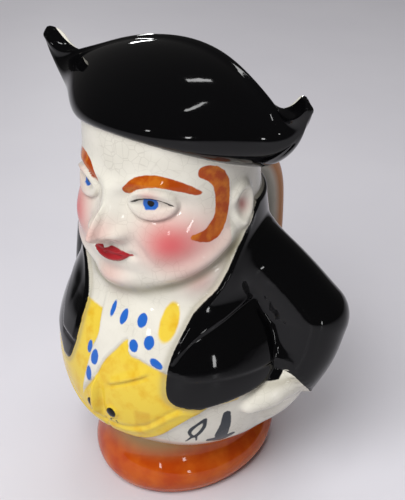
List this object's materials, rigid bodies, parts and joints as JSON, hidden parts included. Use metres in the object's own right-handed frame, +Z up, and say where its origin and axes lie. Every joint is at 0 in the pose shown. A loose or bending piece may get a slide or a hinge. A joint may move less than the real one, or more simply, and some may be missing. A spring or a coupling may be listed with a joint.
{
  "type": "toby jug",
  "caption": "Hollow glazed earthenware jug shaped as a stout half figure in a cocked hat with hands on hips, open at the hat and with a loop handle behind.",
  "frame": {"origin": "middle of the flat underside of the foot, on the surface the jug stands on", "axes": "+Z up, the figure looks along -Y, the handle is on +Y, the figure's left arm is on +X"},
  "size_m": [0.109, 0.0925, 0.1433],
  "materials": {
    "glazed_earthenware": "clear gloss over hand-painted colours"
  },
  "bodies": {
    "root": {"jug": "glazed_earthenware"}
  },
  "joints": []
}
